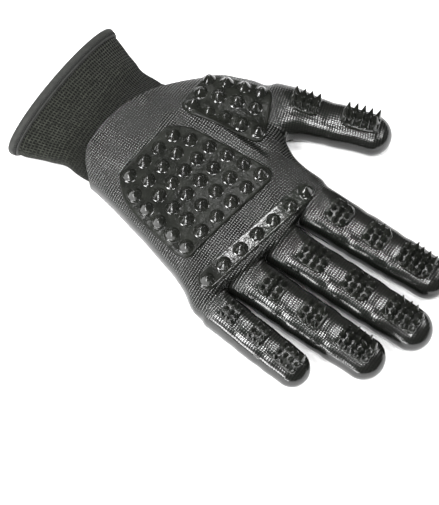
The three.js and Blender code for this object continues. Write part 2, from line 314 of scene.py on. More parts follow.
def root_field(x, y, z):
    """The ball of the thumb, from inside the palm to the thumb's first fold."""
    start = thumb_knuckle[:2] + np.array(BALL_START)
    finger = fingers["thumb"]
    end = finger["base"] + finger["along"] * (finger["stations"][0] + 4)
    run = end - start
    t = np.clip(along_line(x, y, start, end)[0], 0, 1)
    cx, cy = start[0] + run[0] * t, start[1] + run[1] * t
    w = BALL_WIDTH + (finger["w0"] - BALL_WIDTH) * t
    half = BALL_HEIGHT + (0.5 * (finger["h0"] + SINK) - BALL_HEIGHT) * t
    return np.sqrt(((x - cx) ** 2 + (y - cy) ** 2) / w**2 + ((z - half + SINK) / half) ** 2) - 1


def crease_line():
    """Runs between the palm pad and the thenar pad, from the wrist towards the fork of the thumb."""
    palm_high = box_mm("palm_pad")[1]
    thenar_low, thenar_high = box_mm("thenar_pad")
    start = np.array([thenar_low[0] - 1.0, palm_high[1] + 5.0])
    end = np.array([thenar_high[0] + 7.0, thenar_low[1] + 2.0])
    return start, end


def soften(values):
    """Evens out a profile along the hand."""
    weights = np.hanning(21)
    return np.convolve(np.pad(values, 10, mode="edge"), weights / weights.sum(), mode="valid")


def palm_field(x, y, z):
    """Rounded sections between the palm's two edges, ended slantwise at the knuckles."""
    along = x[:, 0, 0]
    edge_low, edge_high, top = palm_sizes(along)
    near_wrist = np.exp(-np.maximum(0, along - wrist_x) / 7.0)
    top = soften(top - 0.4 * near_wrist)
    edge_low = soften(edge_low + 0.5 * near_wrist)
    edge_high = soften(edge_high - thumb_side_trim(along))
    centre = ((edge_low + edge_high) / 2)[:, None, None]
    half_w = ((edge_high - edge_low) / 2)[:, None, None]
    half_h = ((top + SINK) / 2)[:, None, None]
    p = PALM_POWER
    f = ((np.abs(y - centre) / half_w) ** p + (np.abs(z - half_h + SINK) / half_h) ** p) ** (1 / p) - 1
    ends = sorted((knuckle_of(name)[1], knuckle_of(name)[0] - PALM_END[name]) for name in MEMBERS)
    front = np.interp(y, [end[0] for end in ends], [end[1] for end in ends])
    return smooth_max(as_distance(f, VOXEL), (x - front) * 0.95, 4.0)


def crease_field(x, y, z):
    """The fold the ball of the thumb makes between the palm pad and the thenar pad."""
    t, off = along_line(x, y, *crease_line())
    ends = np.clip(t / 0.2, 0, 1) * np.clip((1.15 - t) / 0.3, 0, 1) * (z > 8)
    return (bell(off, CREASE_WIDTH) - 0.75 * bell(off + 1.7 * CREASE_WIDTH, CREASE_WIDTH)) * ends


def build_field():
    """The whole glove's signed distance on a grid, and the grid's low corner."""
    margin = 5 * VOXEL
    low = np.array([wrist_x - 14.0, cad_box_mm[0][1] - margin, -margin])
    high = np.array([cad_box_mm[1][0] + margin, cad_box_mm[1][1] + margin, hand_high[2] + 6.0])
    n = np.ceil((high - low) / VOXEL).astype(int)
    x, y, z = np.meshgrid(*[low[k] + VOXEL * np.arange(n[k]) for k in range(3)], indexing="ij")
    ball = as_distance(root_field(x, y, z), VOXEL)
    palm = smooth_min(palm_field(x, y, z), ball, BALL_SOFTNESS)
    skin = palm
    for name in FINGERS:
        finger = fingers[name]
        tube = as_distance(tube_field(x, y, z, finger), VOXEL)
        back = finger["stations"][0] - ROOT_BACK[name] - local(finger, x, y)[0]
        tube = smooth_max(tube, back, 3.0)
        softness = THUMB_SOFTNESS if name == "thumb" else WEB_SOFTNESS
        skin = np.minimum(skin, smooth_min(palm, tube, softness))
    # Pressed flat where it lies on its back.
    skin = smooth_max(skin, -z, FLOOR_SOFTNESS)
    skin = skin - CREASE_HEIGHT * crease_field(x, y, z)
    # The slight unevenness of a soft glove.
    ripple = np.sin(x / 6.1 + 1.7 * np.sin(y / 9.3)) * np.sin(y / 7.7 + 1.1 * np.sin(x / 12.0))
    skin = skin - 0.22 * ripple * np.clip(z / 12, 0, 1)
    return np.clip(skin, -4, 4), low


def field_mesh(field, low):
    grid = openvdb.FloatGrid(4.0)
    grid.copyFromArray(np.ascontiguousarray(field, dtype=np.float32))
    points, quads = grid.convertToQuads(0.0)
    points = points.astype(float) * VOXEL + low
    return points, quads.astype(np.int64)


cad_box_mm = [np.array(corner) / MM for corner in cad_box]
field, field_low = build_field()
skin_points, skin_quads = field_mesh(field, field_low)


def relax(points, quads, rounds, share=0.5):
    """Moves each point towards the mean of its neighbours."""
    edges = np.concatenate([quads[:, [0, 1]], quads[:, [1, 2]], quads[:, [2, 3]], quads[:, [3, 0]]])
    edges = np.concatenate([edges, edges[:, ::-1]])
    count = np.bincount(edges[:, 0], minlength=len(points))[:, None]
    for _ in range(rounds):
        total = np.zeros_like(points)
        for k in range(3):
            total[:, k] = np.bincount(edges[:, 0], weights=points[edges[:, 1], k], minlength=len(points))
        points = points + share * (total / np.maximum(count, 1) - points)
    return points


skin_points = relax(skin_points, skin_quads, 4)


# ---------------------------------------------------------------- cutting the skin into pieces
def finish_mesh(name, points, faces, material, smooth=True):
    """Makes an object from points in millimetres."""
    mesh = bpy.data.meshes.new(name)
    metres = [tuple(p) for p in np.asarray(points) * MM]
    mesh.from_pydata(metres, [], [tuple(int(i) for i in f) for f in faces])
    mesh.validate()
    if smooth:
        mesh.polygons.foreach_set("use_smooth", [True] * len(mesh.polygons))
    obj = bpy.data.objects.new(name, mesh)
    bpy.context.scene.collection.objects.link(obj)
    mesh.materials.append(material)
    mesh.update()
    return obj


def wrist_bow(y):
    """How far the coat's edge reaches past the wrist towards the cuff, most of all in the middle."""
    t = (y - wrist_mid) / ((high_edge[0] - low_edge[0]) / 2)
    corner = np.clip(-t - 0.55, 0, 0.5)
    return COAT_REACH - COAT_SLANT * t - COAT_BOW * np.clip(t * t, 0, 1.1) - COAT_CORNER * corner * corner


def split_planes(finger):
    """Where each joint's piece of skin starts: before the first fold, then mid-pad."""
    return FIRST_CUT[finger["name"]], [(a + b) / 2 for a, b in finger["pads"][:-1]]


def fold_frame(finger):
    """The first fold's point and heading in plan; the thumb's runs slantwise."""
    joint = finger["joints"][0]
    at = np.array(joint["pos_m"][:2]) / MM
    heading = np.array([-joint["axis"][1], joint["axis"][0]])
    return at, heading


def cut_skin():
    bm = bmesh.new()
    shifted = skin_points.copy()
    shifted[:, 0] += wrist_bow(shifted[:, 1])
    verts = [bm.verts.new(p) for p in shifted]
    bm.verts.ensure_lookup_table()
    for q in skin_quads:
        bm.faces.new([verts[int(i)] for i in q])
    geom = bm.verts[:] + bm.edges[:] + bm.faces[:]
    bmesh.ops.bisect_plane(bm, geom=geom, plane_co=(wrist_x, 0, 0), plane_no=(-1, 0, 0),
                           clear_outer=True, dist=1e-4)
    for v in bm.verts:
        v.co.x -= float(wrist_bow(v.co.y))
    # A rolled lip where the coat ends at the wrist.
    rim = [e for e in bm.edges if e.is_boundary]
    bm.normal_update()
    for depth, back in ((0.7, -0.35), (1.2, 0.5)):
        normals = {v: v.normal.copy() for e in rim for v in e.verts}
        if depth == 0.7:
            kept = normals
        grown = bmesh.ops.extrude_edge_only(bm, edges=rim)["geom"]
        fresh = [g for g in grown if isinstance(g, bmesh.types.BMVert)]
        sources = {}
        for v in fresh:
            for e in v.link_edges:
                other = e.other_vert(v)
                if other not in fresh:
                    sources[v] = other
        renewed = {}
        for v, other in sources.items():
            n = kept.get(other)
            if n is None:
                continue
            v.co = v.co - n * depth + Vector((back, 0, 0))
            renewed[v] = n
        kept = renewed
        rim = [g for g in grown if isinstance(g, bmesh.types.BMEdge) and all(v in sources for v in g.verts)]
    bmesh.ops.recalc_face_normals(bm, faces=bm.faces[:])
    # Cut across each finger before its first fold and in the middle of each pad.
    for name in FINGERS:
        finger = fingers[name]
        root, mids = split_planes(finger)
        at, heading = fold_frame(finger)
        cuts = [(at + heading * root, heading)]
        cuts += [(finger["base"] + finger["along"] * m, finger["along"]) for m in mids]
        for point, direction in cuts:
            near = []
            for face in bm.faces:
                c = face.calc_center_median()
                s, l = local(finger, c.x, c.y)
                off = (c.x - point[0]) * direction[0] + (c.y - point[1]) * direction[1]
                if abs(off) < 3 and abs(l) < finger["w0"] + 3 and s > finger["stations"][0] - 14:
                    near.append(face)
            # Dictionaries keep the order of the elements, so every run cuts them alike.
            corners = dict.fromkeys(v for f in near for v in f.verts)
            sides = dict.fromkeys(e for f in near for e in f.edges)
            bmesh.ops.bisect_plane(bm, geom=[*corners, *sides, *near], plane_co=(*point, 0),
                                   plane_no=(*direction, 0), dist=1e-4)
    bmesh.ops.recalc_face_normals(bm, faces=bm.faces[:])
    bm.normal_update()
    return bm


def label_faces(bm):
    """Gives each face its piece: 0 for the hand, or a finger's base, middle or tip."""
    names = ["hand_skin"]
    centres = np.array([f.calc_center_median()[:] for f in bm.faces])
    labels = np.zeros(len(centres), int)
    reach = np.full(len(centres), 1e9)
    for name in FINGERS:
        finger = fingers[name]
        root, mids = split_planes(finger)
        at, heading = fold_frame(finger)
        s, l = local(finger, centres[:, 0], centres[:, 1])
        past = (centres[:, :2] - at - heading * root) @ heading
        w, _ = finger_sizes(finger, s)
        away = np.abs(l) - w
        inside = (past > 0) & (away < 3.0) & (away < reach)
        reach = np.where(inside, away, reach)
        for k, step in enumerate(steps_of(name)):
            names.append(f"{name}_skin_{step}")
            start = -1e9 if k == 0 else mids[k - 1]
            stop = mids[k] if k < len(mids) else 1e9
            labels[inside & (s >= start) & (s < stop)] = len(names) - 1
    return names, labels


bm = cut_skin()
piece_names, face_labels = label_faces(bm)
bm.verts.index_update()
all_points = np.array([v.co[:] for v in bm.verts])
all_normals = np.array([v.normal[:] for v in bm.verts])
all_faces = [[v.index for v in f.verts] for f in bm.faces]
bm.free()

# bmesh keeps its elements in an order that changes from run to run, so they are sorted by place.
order = np.lexsort(np.round(all_points, 5).T)
rank = np.argsort(order)
all_points, all_normals = all_points[order], all_normals[order]
all_faces = [rank[face].tolist() for face in all_faces]
face_order = sorted(range(len(all_faces)), key=lambda k: sorted(all_faces[k]))
all_faces = [all_faces[k] for k in face_order]
face_labels = face_labels[face_order]
skin_tree = BVHTree.FromPolygons([Vector(p) for p in all_points], all_faces)


def skin_height(x, y):
    hit, normal, _, _ = skin_tree.ray_cast(Vector((x, y, 80.0)), Vector((0, 0, -1)))
    if hit is None:
        return None, None
    return hit.z, normal


# ---------------------------------------------------------------- knit coordinates and coat
def knit_coordinates(points, normals):
    """Along and across the knit in millimetres; each finger carries its own run of the knit."""
    x, y, z = points.T
    u, v = x.copy(), y.copy()
    top = np.interp(x, little_side, top_edge)
    side = normals[:, 1].copy()
    thumb = fingers["thumb"]
    s, l = local(thumb, x, y)
    # The knit turns from the palm's direction to the thumb's round the ball of the thumb.
    beside = np.clip(1 - np.maximum(0, np.abs(l) - thumb["w0"]) / np.where(l < 0, 44, 26), 0, 1)
    near = ease(beside * np.clip((s - thumb["stations"][0] + 50) / 60, 0, 1))
    anchor = thumb["base"] + thumb["along"] * thumb["stations"][0]
    u = u + (s - thumb["stations"][0] + anchor[0] - u) * near
    v = v + (l + anchor[1] - v) * near
    top = top + (finger_sizes(thumb, s)[1] - top) * near
    for name in ("little", "ring", "middle", "index"):
        finger = fingers[name]
        s, l = local(finger, x, y)
        on = np.clip((s - finger["stations"][0] + 10) / 14, 0, 1) * (np.abs(l) < finger["w0"] + 1.5)
        top = top + (finger_sizes(finger, s)[1] - top) * on
        # The middle finger lies in line with the palm, and its knit runs straight on.
        if name != "middle":
            anchor = finger["base"] + finger["along"] * finger["stations"][0]
            u = u + (s - finger["stations"][0] + anchor[0] - u) * on
            v = v + (l + anchor[1] - v) * on
    # Down the sides the rows go on at the same spacing.
    flat = np.abs(normals[:, 2])
    upper = np.clip((normals[:, 2] + 0.9) / 0.5, 0, 1)
    v = v + np.clip(1.6 * side, -1, 1) * np.clip(top - z, 0, None) * upper
    return np.stack([u, v, flat], 1)


def film_amount(points):
    """How thick the coat lies: thin on the palm, where the knit shows through, thicker on the fingers."""
    film = np.zeros(len(points))
    for name in FINGERS:
        finger = fingers[name]
        s, l = local(finger, *points[:, :2].T)
        past = np.clip((s - finger["stations"][0] + 6) / 12, 0, 1)
        film = np.maximum(film, past * (np.abs(l) < finger["w0"] + 2.5))
    return film


def coat_amount(points, normals):
    """1 where the dip coat covers the knit: the palm side, and the fingers all round to a U on the back."""
    x, y = points[:, :2].T
    top = np.clip((normals[:, 2] + 0.35) / 0.5, 0, 1)
    reach = np.full(len(points), -50.0)
    for name in FINGERS:
        finger = fingers[name]
        s, l = local(finger, x, y)
        w, _ = finger_sizes(finger, s)
        # On the back, the coat's edge is a U that opens towards the hand.
        first, last = finger["stations"][0], finger["stations"][-1]
        line = (first + last) / 2 + 5 if name != "thumb" else first + 18
        dip = s - line + 15 * (np.abs(l) / w) ** 2.5
        mine = np.where((np.abs(l) < w + 2) & (s > first - 4), dip, -50.0)
        reach = np.maximum(reach, mine)
    back = np.clip(0.5 + reach / 1.2, 0, 1)
    return np.maximum(top, back)


knit = knit_coordinates(all_points, all_normals)
coat = coat_amount(all_points, all_normals)
film = film_amount(all_points)


# ---------------------------------------------------------------- materials
class Nodes:
    """A small helper that builds a shader as expressions."""

    def __init__(self, name):
        self.material = bpy.data.materials.new(name)
        self.material.use_nodes = True
        self.tree = self.material.node_tree
        self.shader = self.tree.nodes["Principled BSDF"]

    def link(self, value, socket):
        if isinstance(value, bpy.types.NodeSocket):
            self.tree.links.new(value, socket)
        elif value is not None:
            socket.default_value = value

    def give(self, name, value):
        """Sets an input of the shader, or links it."""
        self.link(value, self.shader.inputs[name])

    def math(self, operation, a, b=None, c=None):
        node = self.tree.nodes.new("ShaderNodeMath")
        node.operation = operation
        for k, value in enumerate((a, b, c)):
            self.link(value, node.inputs[k])
        return node.outputs[0]

    def ramp(self, value, low, high, to_low=0.0, to_high=1.0):
        node = self.tree.nodes.new("ShaderNodeMapRange")
        node.interpolation_type = "SMOOTHSTEP"
        keys = ("Value", "From Min", "From Max", "To Min", "To Max")
        for key, item in zip(keys, (value, low, high, to_low, to_high)):
            self.link(item, node.inputs[key])
        return node.outputs[0]

    def noise(self, vector, scale, detail=3.0, roughness=0.55):
        node = self.tree.nodes.new("ShaderNodeTexNoise")
        self.link(vector, node.inputs["Vector"])
        node.inputs["Scale"].default_value = scale
        node.inputs["Detail"].default_value = detail
        node.inputs["Roughness"].default_value = roughness
        return node.outputs["Fac"]

    def attribute(self, name):
        node = self.tree.nodes.new("ShaderNodeAttribute")
        node.attribute_name = name
        return node

    def place(self):
        return self.tree.nodes.new("ShaderNodeTexCoord").outputs["Object"]

    def split(self, vector):
        node = self.tree.nodes.new("ShaderNodeSeparateXYZ")
        self.link(vector, node.inputs[0])
        return node.outputs

    def mix(self, factor, a, b):
        node = self.tree.nodes.new("ShaderNodeMix")
        node.data_type = "RGBA"
        self.link(factor, node.inputs[0])
        self.link(a, node.inputs[6])
        self.link(b, node.inputs[7])
        return node.outputs[2]

    def blend(self, factor, a, b):
        node = self.tree.nodes.new("ShaderNodeMix")
        self.link(factor, node.inputs[0])
        self.link(a, node.inputs[2])
        self.link(b, node.inputs[3])
        return node.outputs[0]

    def bump(self, height, distance, strength=1.0, normal=None):
        node = self.tree.nodes.new("ShaderNodeBump")
        self.link(height, node.inputs["Height"])
        self.link(strength, node.inputs["Strength"])
        node.inputs["Distance"].default_value = distance
        self.link(normal, node.inputs["Normal"])
        return node.outputs["Normal"]


def stitches(n, u, v, course, wale):
    """Height of a plain knit: rows of small V stitches, 0 to 1."""
    across = n.math("FRACT", n.math("DIVIDE", v, wale))
    lean = n.math("ABSOLUTE", n.math("SUBTRACT", n.math("MULTIPLY", across, 2.0), 1.0))
    along = n.math("ADD", n.math("DIVIDE", u, course), n.math("MULTIPLY", lean, 0.08))
    rows = n.math("MULTIPLY_ADD", n.math("COSINE", n.math("MULTIPLY", along, 2 * math.pi)), 0.5, 0.5)
    columns = n.math("SINE", n.math("MULTIPLY", across, math.pi))
    return n.math("MULTIPLY", n.math("POWER", columns, 0.8), n.math("MULTIPLY_ADD", rows, 0.85, 0.15))


def grade(color):
    return (*color, 1.0)


def skin_material():
    n = Nodes("coated_knit")
    weave = n.split(n.attribute("weave").outputs["Vector"])
    coated = n.attribute("coat").outputs["Fac"]
    place = n.place()
    wander = n.noise(place, 25.0, 1.0)
    u = n.math("ADD", weave[0], n.math("MULTIPLY", wander, 2.0))
    v = n.math("ADD", weave[1], n.math("MULTIPLY", wander, 1.0))
    knit_height = stitches(n, u, v, COURSE, WALE)
    edge = n.noise(place, 420.0, 2.0)
    coat_mask = n.ramp(n.math("MULTIPLY_ADD", edge, 0.35, n.math("SUBTRACT", coated, 0.17)), 0.42, 0.58)
    patches = n.noise(place, 45.0, 2.0)
    thin = n.ramp(patches, 0.3, 0.7)
    film = n.attribute("film").outputs["Fac"]
    facing = n.blend(film, n.ramp(weave[2], 0.25, 0.75), n.ramp(weave[2], 0.5, 0.97))
    # How far the knit shows through the coat.
    shows = n.math("MULTIPLY", n.math("MULTIPLY", n.blend(thin, 0.75, 1.0), facing), n.blend(film, 1.0, 0.6))
    bare = n.mix(n.ramp(knit_height, 0.1, 0.8), grade((0.010, 0.011, 0.009)), grade((0.040, 0.042, 0.035)))
    # Painted highlight and shade: the knit's crests get a lighter colour and its valleys a near-black one, in
    # place of the stitches' glints and shade; the crests are lighter still where the knit shows most.
    lit = n.mix(shows, grade((0.009, 0.0095, 0.008)), grade((0.024, 0.025, 0.022)))
    coat_color = n.mix(n.ramp(knit_height, 0.3, 0.85), grade((0.0025, 0.0027, 0.0023)), lit)
    n.give("Base Color", n.mix(coat_mask, bare, coat_color))
    gloss = n.blend(film, n.blend(thin, 0.22, 0.28), 0.2)
    n.give("Roughness", n.blend(coat_mask, 0.85, gloss))
    glint = n.blend(n.ramp(knit_height, 0.2, 0.7), 0.05, 1.0)
    level = n.blend(coat_mask, 0.15, n.blend(shows, 0.6, glint))
    level = n.math("MULTIPLY", level, n.ramp(weave[2], 0.05, 0.45, 0.35, 1.0))
    n.give("Specular IOR Level", level)
    film_depth = n.blend(film, 0.62, 0.22)
    depth = n.blend(coat_mask, 1.0, n.math("MULTIPLY", shows, film_depth))
    grain = n.noise(place, 900.0, 2.0)
    first = n.bump(knit_height, 0.0006, depth)
    n.give("Normal", n.bump(grain, 0.00005, 0.5, first))
    return n.material


def pad_material():
    n = Nodes("rubber_pads")
    place = n.place()
    cloud = n.noise(place, 130.0, 3.0)
    color = n.mix(n.ramp(cloud, 0.3, 0.7), grade((0.006, 0.0065, 0.0054)), grade((0.0105, 0.0113, 0.0092)))
    n.give("Base Color", color)
    stud = n.attribute("stud").outputs["Fac"]
    gloss = n.blend(stud, n.ramp(cloud, 0.3, 0.75, 0.26, 0.34), 0.14)
    n.give("Specular IOR Level", n.blend(stud, 0.13, 0.6))
    n.give("Roughness", gloss)
    fine = n.noise(place, 1400.0, 2.0)
    waves = n.bump(n.noise(place, 380.0, 2.0), 0.0006, n.blend(stud, 0.7, 0.2))
    n.give("Normal", n.bump(fine, 0.00006, 0.6, waves))
    return n.material


def cuff_material():
    n = Nodes("cuff_knit")
    weave = n.split(n.attribute("weave").outputs["Vector"])
    place = n.place()
    sway = n.noise(place, 90.0, 2.0)
    along = n.math("ADD", n.math("DIVIDE", weave[0], 1.95), n.math("MULTIPLY", sway, 1.1))
    around = n.math("ADD", weave[1], n.math("MULTIPLY", sway, 0.7))
    course = n.math("ABSOLUTE", n.math("SUBTRACT", n.math("FRACT", along), 0.5))
    wale = n.math("ABSOLUTE", n.math("SUBTRACT", n.math("FRACT", around), 0.5))
    lines = n.math("MAXIMUM", n.math("MULTIPLY", n.ramp(course, 0.24, 0.46), 0.85), n.ramp(wale, 0.22, 0.46))
    cells = n.noise(place, 700.0, 3.0)
    yarn = n.mix(n.ramp(cells, 0.3, 0.7), grade((0.010, 0.0108, 0.0086)), grade((0.034, 0.0365, 0.029)))
    cloth = n.mix(lines, grade((0.0015, 0.0017, 0.0013)), yarn)
    # Painted shadow: the knit's colour is darkened towards the coat's edge, standing in for the shade of the
    # coat's overhang.
    painted_coat_shadow = n.ramp(weave[0], wrist_x - 24, wrist_x - 4, 0.0, 0.6)
    n.give("Base Color", n.mix(painted_coat_shadow, cloth, grade((0.002, 0.0022, 0.0017))))
    n.give("Roughness", 0.9)
    n.give("Sheen Weight", 0.06)
    n.give("Specular IOR Level", 0.1)
    n.give("Sheen Roughness", 0.5)
    first = n.bump(lines, 0.0004, 0.9)
    n.give("Normal", n.bump(cells, 0.00015, 0.5, first))
    return n.material


def binding_material():
    n = Nodes("binding")
    weave = n.split(n.attribute("weave").outputs["Vector"])
    threads = n.math("SINE", n.math("MULTIPLY", weave[1], 2 * math.pi / 0.8))
    threads = n.math("MULTIPLY_ADD", threads, 0.5, 0.5)
    cloud = n.noise(n.place(), 300.0, 3.0)
    tone = n.mix(n.ramp(cloud, 0.3, 0.7), grade((0.009, 0.0094, 0.0082)), grade((0.018, 0.0188, 0.0165)))
    # The stitched seam shows as a dark saw-toothed line beside the welt.
    tooth = n.math("ABSOLUTE", n.math("SUBTRACT", n.math("FRACT", n.math("DIVIDE", weave[1], 1.6)), 0.5))
    off = n.math("ABSOLUTE", n.math("SUBTRACT", n.math("MULTIPLY_ADD", tooth, 1.3, weave[0]), 3.4))
    seam = n.ramp(off, 0.35, 0.75, 1.0, 0.0)
    n.give("Base Color", n.mix(seam, tone, grade((0.0015, 0.0016, 0.0013))))
    n.give("Roughness", 0.62)
    n.give("Specular IOR Level", 0.3)
    n.give("Sheen Weight", 0.08)
    rough = n.math("MULTIPLY_ADD", cloud, 0.5, n.math("MULTIPLY", threads, 0.5))
    n.give("Normal", n.bump(rough, 0.00015, 0.6))
    return n.material


def thread_material():
    n = Nodes("binding_thread")
    twist = n.noise(n.place(), 1500.0, 2.0)
    color = n.mix(twist, grade((0.002, 0.0022, 0.0018)), grade((0.007, 0.0075, 0.006)))
    n.give("Base Color", color)
    n.give("Roughness", n.ramp(twist, 0.3, 0.7, 0.6, 0.8))
    n.give("Normal", n.bump(twist, 0.0001, 0.5))
    return n.material


SKIN = skin_material()
RUBBER = pad_material()
KNIT = cuff_material()
BINDING = binding_material()
THREAD = thread_material()


def give_attribute(obj, name, values, kind="FLOAT_VECTOR"):
    layer = obj.data.attributes.new(name, kind, "POINT")
    key = "vector" if kind == "FLOAT_VECTOR" else "value"
    layer.data.foreach_set(key, np.ascontiguousarray(values, dtype=np.float32).ravel())


# ---------------------------------------------------------------- pieces of skin
def skin_piece(label, name):
    chosen = np.nonzero(face_labels == label)[0]
    used = sorted({i for k in chosen for i in all_faces[k]})
    renumber = {old: new for new, old in enumerate(used)}
    faces = [[renumber[i] for i in all_faces[k]] for k in chosen]
    obj = finish_mesh(name, all_points[used], faces, SKIN)
    give_attribute(obj, "weave", knit[used])
    give_attribute(obj, "coat", coat[used], "FLOAT")
    give_attribute(obj, "film", film[used], "FLOAT")
    obj.data.normals_split_custom_set_from_vertices([tuple(v) for v in all_normals[used]])
    return obj


# Each finger piece runs from just under one pad to just under the next.
skin_objects = {name: skin_piece(k, name) for k, name in enumerate(piece_names)}
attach(skin_objects["hand_skin"], "hand")
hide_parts("hand_shell")
for name in FINGERS:
    bodies = ["hand"] + segments_of(name)
    for k, step in enumerate(steps_of(name)):
        piece = skin_objects[f"{name}_skin_{step}"]
        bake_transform(piece)
        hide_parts(bodies[k + 1])


# ---------------------------------------------------------------- rubber pads
def hull_outline(points):
    order = geometry.convex_hull_2d([Vector((p[0], p[1])) for p in points])
    ring = np.array([points[i][:2] for i in order])
    area = np.sum(ring[:, 0] * np.roll(ring[:, 1], -1) - np.roll(ring[:, 0], -1) * ring[:, 1])
    return ring if area > 0 else ring[::-1]


def round_outline(ring, rounds, count):
    for _ in range(rounds):
        after = np.roll(ring, -1, axis=0)
        ring = np.stack([0.75 * ring + 0.25 * after, 0.25 * ring + 0.75 * after], 1).reshape(-1, 2)
    closed = np.vstack([ring, ring[:1]])
    run = np.concatenate([[0], np.cumsum(np.hypot(*np.diff(closed, axis=0).T))])
    at = np.linspace(0, run[-1], count, endpoint=False)
    return np.stack([np.interp(at, run, closed[:, k]) for k in range(2)], 1)


def studs_on(points, under, gap):
    """Where the studs of a CAD pad stand: the middles of its clusters of points farthest from the shell."""
    rise = np.array([under.find_nearest(Vector(p))[3] for p in points])
    high = points[rise > 0.8 * rise.max()]
    spots = []
    for p in high:
        for spot in spots:
            if np.hypot(*(spot[0] / spot[1] - p[:2])) < gap:
                spot[0] += p[:2]
                spot[1] += 1
                break
        else:
            spots.append([p[:2].copy(), 1])
    return [s[0] / s[1] for s in spots]


# Radius and height, from the foot that sinks into the pad to the blunt point.
NUB_PROFILE = [
    (4.9, -0.4), (4.75, -0.05), (4.5, 0.06), (4.2, 0.18), (3.92, 0.4), (3.66, 0.75), (3.34, 1.25), (2.98, 1.85),
    (2.58, 2.42), (2.18, 2.98), (1.76, 3.52), (1.36, 4.02), (0.98, 4.45), (0.62, 4.82), (0.3, 5.05), (0.08, 5.12),
]
SPIKE_PROFILE = [
    (2.4, -0.4), (2.25, -0.05), (2.08, 0.06), (1.92, 0.24), (1.78, 0.5), (1.62, 0.95), (1.38, 1.75), (1.08, 2.75),
    (0.76, 3.8), (0.43, 4.8), (0.12, 5.4),
]
# How each kind of stud is made: its sides, the least gap between two, how far it stands upright
# on a slope instead of square to it, and how much the studs differ.
NUBS = {"profile": NUB_PROFILE, "sides": 28, "gap": 4.5, "upright": 0.5, "wild": 0.015}
SPIKES = {"profile": SPIKE_PROFILE, "sides": 12, "gap": 1.6, "upright": 0.35, "wild": 0.07}
# A pad's rounded edge: inset and height above the skin, before the flat of the plate.
PAD_EDGE = [(0.0, -0.7), (0.0, 0.15), (0.22, 0.62), (0.6, 0.97), (1.15, 1.16)]
PLATE_INSET = 2.0
PLATE_STEP = 1.6


def ring_faces(rows, count):
    """Quads between rings of points, from the lowest ring to the highest."""
    faces = []
    for r in range(rows - 1):
        for k in range(count):
            j = (k + 1) % count
            faces.append([r * count + k, r * count + j, (r + 1) * count + j, (r + 1) * count + k])
    return faces


def stud_mesh(base, normal, kind, scale, tall):
    n = Vector(normal).normalized()
    a = n.orthogonal().normalized()
    b = n.cross(a)
    sides, rows = kind["sides"], len(kind["profile"])
    points = []
    for radius, height in kind["profile"]:
        for k in range(sides):
            turn = 2 * math.pi * k / sides
            spoke = a * math.cos(turn) + b * math.sin(turn)
            points.append((Vector(base) + spoke * radius * scale + n * height * scale * tall)[:])
    faces = ring_faces(rows, sides)
    faces.append([(rows - 1) * sides + k for k in range(sides)])
    faces.append(list(reversed(range(sides))))
    return points, faces


def plate_mesh(outline, height):
    """A thin plate that follows the skin, with a rounded edge and a flat underside."""
    count = len(outline)
    centre = outline.mean(0)
    tangent = np.roll(outline, -1, axis=0) - np.roll(outline, 1, axis=0)
    inward = np.stack([-tangent[:, 1], tangent[:, 0]], 1)
    inward /= np.linalg.norm(inward, axis=1)[:, None]
    edge = PAD_EDGE + [(PLATE_INSET, height)]
    rings = [outline + inward * inset for inset, _ in edge]
    heights = [h for _, h in edge]
    last = rings[-1]
    steps = max(4, int(np.linalg.norm(last - centre, axis=1).max() / PLATE_STEP))
    for k in range(1, steps):
        rings.append(centre + (last - centre) * (1 - k / steps))
        heights.append(height)
    verts = [(p[0], p[1], skin_height(*p)[0] + h) for ring, h in zip(rings, heights) for p in ring]
    verts.append((centre[0], centre[1], skin_height(*centre)[0] + height))
    peak = len(verts) - 1
    faces = ring_faces(len(rings), count)
    top = (len(rings) - 1) * count
    faces += [[top + k, top + (k + 1) % count, peak] for k in range(count)]
    faces.append(list(reversed(range(count))))
    return verts, faces


def pad_piece(node, body, kind, count, height, polish, tall=1.0):
    """A rubber plate with studs where the CAD pad has them; polish is the plate's share of their gloss."""
    points = cad_points(node)
    outline = round_outline(hull_outline(points), 3, count)
    little = node.startswith("little")
    if little:
        # The little finger folds tightest: its pads stop a little short of the fold.
        outline = outline.mean(0) + (outline - outline.mean(0)) * LITTLE_PAD
    verts, faces = plate_mesh(outline, height)
    plate = len(verts)
    upright = kind["upright"]
    for spot in studs_on(points, cad_tree("hand_shell" if body == "hand" else body), kind["gap"]):
        z, normal = skin_height(*spot)
        lean = (normal * (1 - upright) + Vector((0, 0, 1)) * upright).normalized()
        lean += Vector(rng.normal(0, kind["wild"], 3))
        scale = (LITTLE_SPIKES if little else 1) + rng.normal(0, 0.01 + kind["wild"] * 0.6)
        more, more_faces = stud_mesh((spot[0], spot[1], z + height - 0.05), lean, kind, scale, tall)
        start = len(verts)
        verts.extend(more)
        faces.extend([[i + start for i in f] for f in more_faces])
    obj = finish_mesh(node + "_rubber", verts, faces, RUBBER)
    give_attribute(obj, "stud", [polish] * plate + [1.0] * (len(verts) - plate), "FLOAT")
    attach(obj, body)
    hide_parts(node)


pad_piece("palm_pad", "hand", NUBS, count=200, height=1.15, polish=0.0)
pad_piece("thenar_pad", "hand", NUBS, count=160, height=1.15, polish=0.0)
pad_piece("knuckle_strip", "hand", NUBS, count=200, height=0.9, polish=0.8)
for name in FINGERS:
    for segment in segments_of(name):
        tall = TIP_SPIKES if segment.endswith("distal") else 1.0
        pad_piece(segment + "_pad", segment, SPIKES, count=90, height=0.9, polish=0.4, tall=tall)


# ---------------------------------------------------------------- cuff
cuff_tree = cad_tree("cuff")
cuff_low, cuff_high = box_mm("cuff")


def cuff_section(x):
    """Edges, floor and top of the CAD cuff at x."""
    middle = (cuff_low[1] + cuff_high[1]) / 2
    top = cast(cuff_tree, (x, middle, 100), (0, 0, -1))
    floor = cast(cuff_tree, (x, middle, -50), (0, 0, 1))
    return *side_edges(cuff_tree, x), floor[2], top[2]


hem_x = cuff_low[0] + HEM_BOW * 0.98
probe_x = np.linspace(hem_x + 0.6, cuff_high[0] - 0.5, 24)
sections = np.array([cuff_section(x) for x in probe_x])


